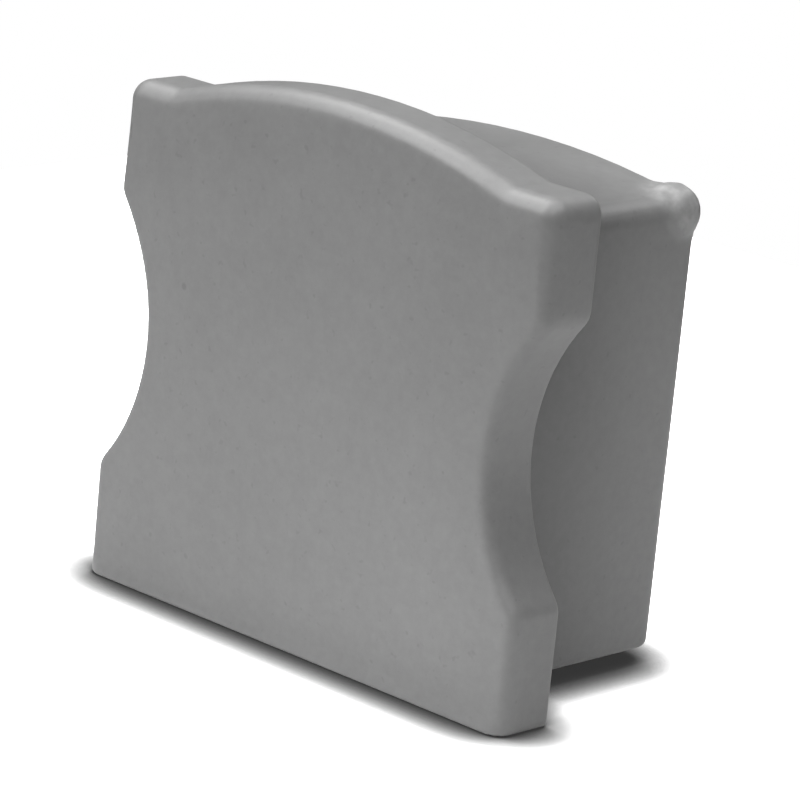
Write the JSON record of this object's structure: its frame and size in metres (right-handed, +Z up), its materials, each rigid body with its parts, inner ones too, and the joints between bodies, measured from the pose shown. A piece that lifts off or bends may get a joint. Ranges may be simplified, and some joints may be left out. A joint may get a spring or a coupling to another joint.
{
  "type": "profile end cap",
  "caption": "Moulded push-in end cap: a waisted, arch-topped flange covers the end of a profile and a smaller solid plug fills its mouth.",
  "frame": {"origin": "middle of the width, in the seating plane at the back of the flange, on the plane of the flange's foot", "axes": "+X across the cap, +Y from the flange towards the plug's tip and into the profile, +Z up towards the arch"},
  "size_m": [0.02, 0.0108, 0.019],
  "materials": {
    "moulded_rubber": "satin mid-grey moulded rubber with a faint mottle"
  },
  "bodies": {
    "root": {"end_cap": "moulded_rubber"}
  },
  "joints": []
}
